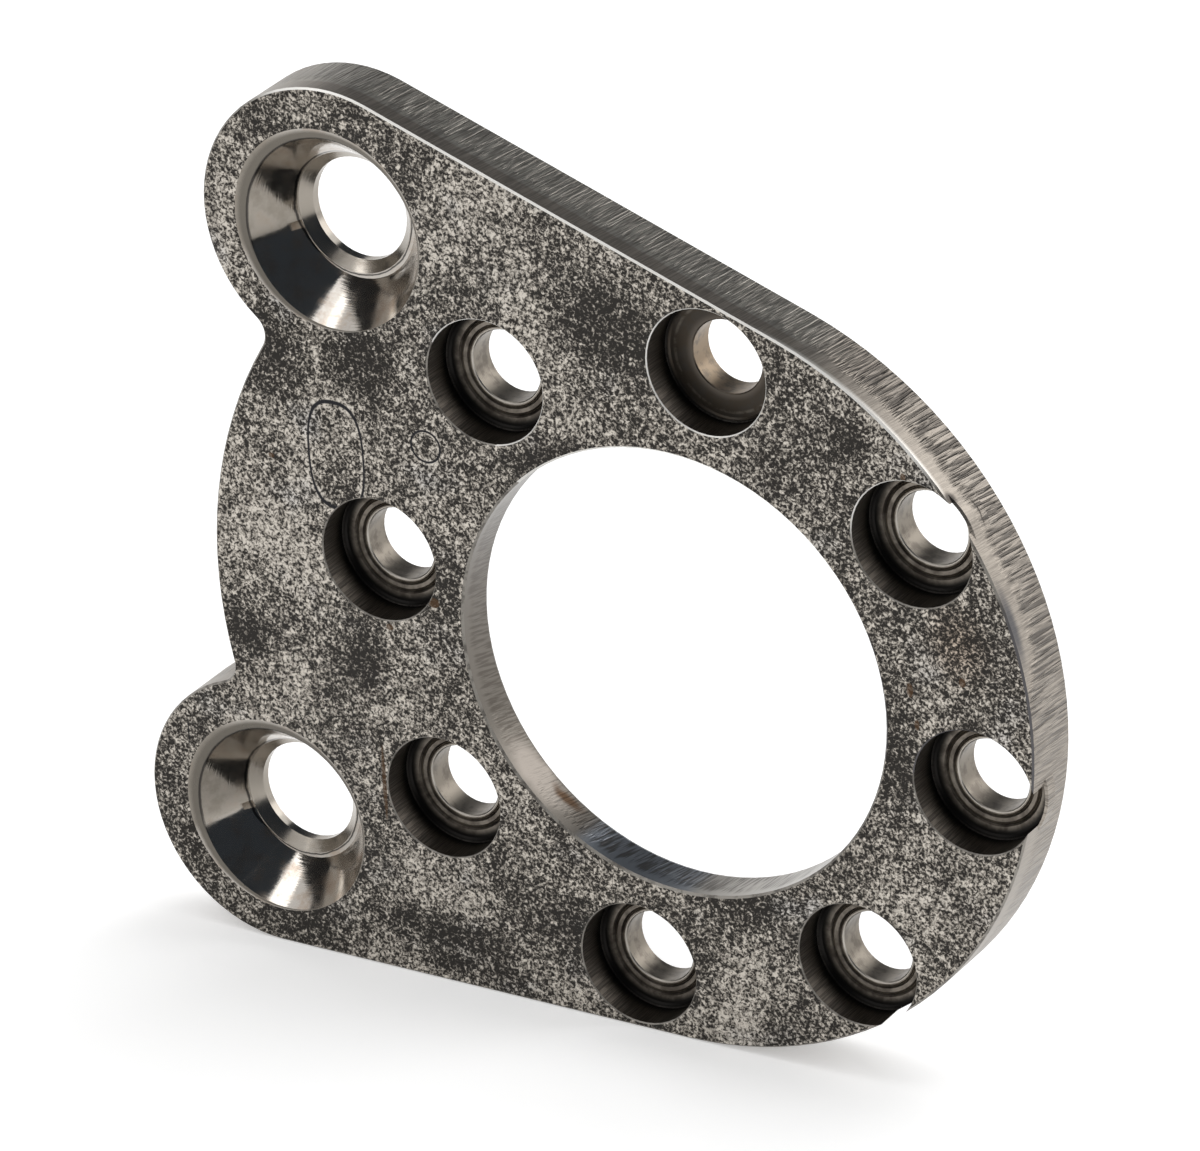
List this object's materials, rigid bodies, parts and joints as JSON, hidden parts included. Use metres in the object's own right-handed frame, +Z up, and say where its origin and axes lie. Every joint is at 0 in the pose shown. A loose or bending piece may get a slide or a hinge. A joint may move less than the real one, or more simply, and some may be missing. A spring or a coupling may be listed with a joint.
{
  "type": "brake caliper bracket",
  "caption": "Flat steel plate with a large centre bore, a ring of counterbored bolt holes round it and two rounded lugs with conically seated holes for a caliper.",
  "frame": {"origin": "centre of the bolt circle and bore, in the plane of the bolting face; the plate stands on its lower straight edge", "axes": "+Y along the bore's axis out of the bolting face, +Z up, -Y out of the counterbored front face"},
  "size_m": [0.1356, 0.0095, 0.1261],
  "materials": {
    "steel": "bare steel, mottled dull faces, machined holes"
  },
  "bodies": {
    "root": {"bracket_plate": "steel"}
  },
  "joints": []
}
